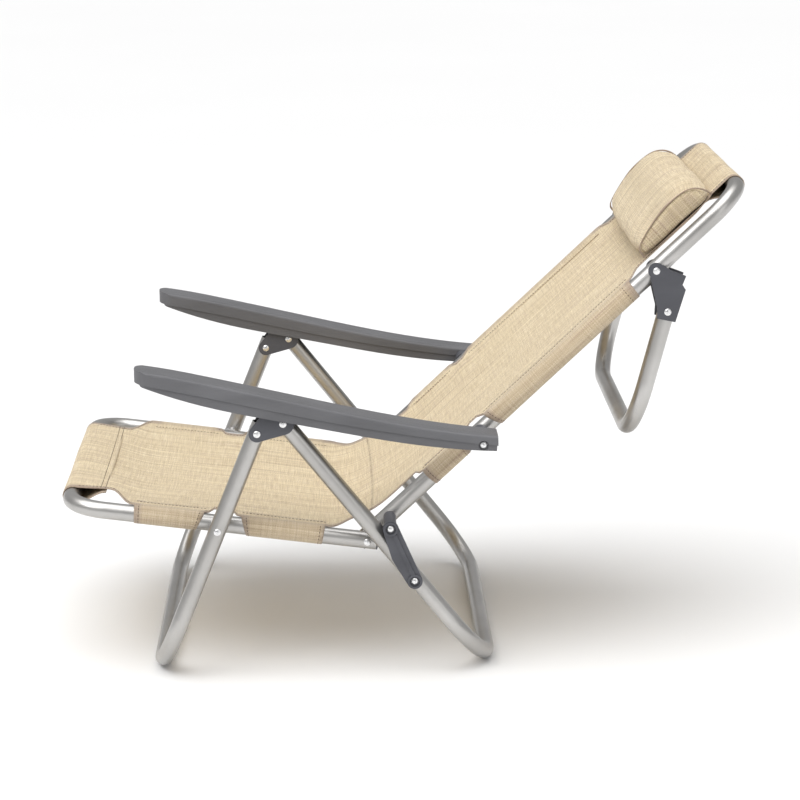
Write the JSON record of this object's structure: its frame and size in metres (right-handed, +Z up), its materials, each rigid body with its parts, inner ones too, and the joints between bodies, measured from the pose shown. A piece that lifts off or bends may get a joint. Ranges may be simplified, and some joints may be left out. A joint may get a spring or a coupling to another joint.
{
  "type": "beach chair",
  "caption": "Low folding beach chair: bent tube frame, woven cloth sling, moulded armrests, head bolster and a fold-out rear prop; reclines and folds flat.",
  "frame": {"origin": "on the floor under the middle of the chair", "axes": "+Z up, -Y the way the sitter faces, +X the sitter's left"},
  "size_m": [0.592, 0.8844, 0.6301],
  "materials": {
    "aluminium_tube": "satin anodised",
    "rivet_metal": "bright zinc plated",
    "armrest_plastic": "fine grain",
    "slate_plastic": "satin moulded",
    "sling_cloth": "slubbed mesh weave",
    "pillow_cloth": "slubbed mesh weave"
  },
  "bodies": {
    "front_legs": {"front_leg_frame": "aluminium_tube", "front_leg_rivets": "rivet_metal"},
    "knuckles": {"knuckle_outer_plate_left": "slate_plastic", "knuckle_outer_plate_right": "slate_plastic", "knuckle_inner_plate_left": "slate_plastic", "knuckle_inner_plate_right": "slate_plastic", "knuckle_rack_pins": "rivet_metal", "rear_leg_pivot_rivets": "rivet_metal"},
    "rear_legs": {"rear_leg_frame": "aluminium_tube", "link_lower_rivets": "rivet_metal"},
    "seat_pins": {"seat_pivot_rivets": "rivet_metal", "seat_pivot_spacers": "rivet_metal"},
    "seat": {"seat_frame": "aluminium_tube", "seat_end_plugs": "slate_plastic", "seat_sling": "sling_cloth"},
    "hinge_pins": {"back_hinge_rivets": "rivet_metal", "back_hinge_washers": "rivet_metal", "sling_bend": "sling_cloth"},
    "back": {"back_frame": "aluminium_tube", "back_end_plugs": "slate_plastic", "back_sling": "sling_cloth", "head_pillow": "pillow_cloth", "prop_pivot_rivets": "rivet_metal"},
    "armrest_pins": {"armrest_pivot_rivets": "rivet_metal", "armrest_pivot_spacers": "slate_plastic"},
    "armrest_left_body": {"armrest_left": "armrest_plastic"},
    "armrest_right_body": {"armrest_right": "armrest_plastic"},
    "link_left_body": {"link_left": "slate_plastic", "link_upper_rivet_left": "rivet_metal"},
    "link_right_body": {"link_right": "slate_plastic", "link_upper_rivet_right": "rivet_metal"},
    "prop": {"prop_frame": "aluminium_tube", "prop_bracket_outer_left": "slate_plastic", "prop_bracket_outer_right": "slate_plastic", "prop_bracket_inner_left": "slate_plastic", "prop_bracket_inner_right": "slate_plastic", "prop_tube_rivets": "rivet_metal"}
  },
  "joints": [
    {"name": "back_recline", "type": "hinge", "parent": "hinge_pins", "child": "back", "pos_m": [0, -0.0477, 0.1733], "axis": [1, 0, 0], "range_deg": [-50, 16], "deforming": ["sling_bend"]},
    {"name": "leg_fold", "type": "hinge", "parent": "knuckles", "child": "rear_legs", "pos_m": [0, -0.1526, 0.3392], "axis": [-1, 0, 0], "range_deg": [0, 57.5]},
    {"name": "prop_swing", "type": "hinge", "parent": "back", "child": "prop", "pos_m": [0, 0.32273, 0.518], "axis": [-1, 0, 0], "range_deg": [0, 31]},
    {"name": "seat_fold", "type": "hinge", "parent": "front_legs", "child": "seat_pins", "pos_m": [0, -0.23818, 0.19869], "axis": [1, 0, 0], "range_deg": [-71.8, 0]},
    {"name": "seat_tilt", "type": "hinge", "parent": "seat_pins", "child": "seat", "pos_m": [0, -0.23818, 0.19869], "axis": [1, 0, 0], "range_deg": [-4.34, 12.5]},
    {"name": "rear_leg_spread", "type": "hinge", "parent": "front_legs", "child": "knuckles", "pos_m": [0, -0.1856, 0.3265], "axis": [1, 0, 0], "range_deg": [-2.74, 7.5]},
    {"name": "back_fold", "type": "hinge", "parent": "seat", "child": "hinge_pins", "pos_m": [0, -0.0477, 0.1733], "axis": [1, 0, 0], "range_deg": [0, 94.8]},
    {"name": "armrest_fold", "type": "hinge", "parent": "back", "child": "armrest_pins", "pos_m": [0, 0.09945, 0.31023], "axis": [1, 0, 0], "range_deg": [-126.42, 0]},
    {"name": "armrest_left_swing", "type": "hinge", "parent": "armrest_pins", "child": "armrest_left_body", "pos_m": [0.271, 0.09945, 0.31023], "axis": [1, 0, 0], "range_deg": [-8.98, 27]},
    {"name": "armrest_right_swing", "type": "hinge", "parent": "armrest_pins", "child": "armrest_right_body", "pos_m": [-0.271, 0.09945, 0.31023], "axis": [1, 0, 0], "range_deg": [-8.98, 27]},
    {"name": "link_left_swing", "type": "hinge", "parent": "rear_legs", "child": "link_left_body", "pos_m": [0.284, 0.0118, 0.13136], "axis": [1, 0, 0], "range_deg": [-93.65, 0]},
    {"name": "link_right_swing", "type": "hinge", "parent": "rear_legs", "child": "link_right_body", "pos_m": [-0.284, 0.0118, 0.13136], "axis": [1, 0, 0], "range_deg": [-93.65, 0]}
  ],
  "couplings": [
    {"joint": "seat_fold", "follows": "leg_fold", "ratio": -1.24},
    {"joint": "back_fold", "follows": "leg_fold", "ratio": 1.64},
    {"joint": "armrest_fold", "follows": "leg_fold", "ratio": -2.19},
    {"joint": "link_left_swing", "follows": "leg_fold", "ratio": -1.62},
    {"joint": "link_right_swing", "follows": "leg_fold", "ratio": -1.62},
    {"joint": "seat_tilt", "follows": "back_recline", "ratio": -0.24},
    {"joint": "rear_leg_spread", "follows": "back_recline", "ratio": -0.14},
    {"joint": "armrest_left_swing", "follows": "back_recline", "ratio": -0.53},
    {"joint": "armrest_right_swing", "follows": "back_recline", "ratio": -0.53}
  ]
}
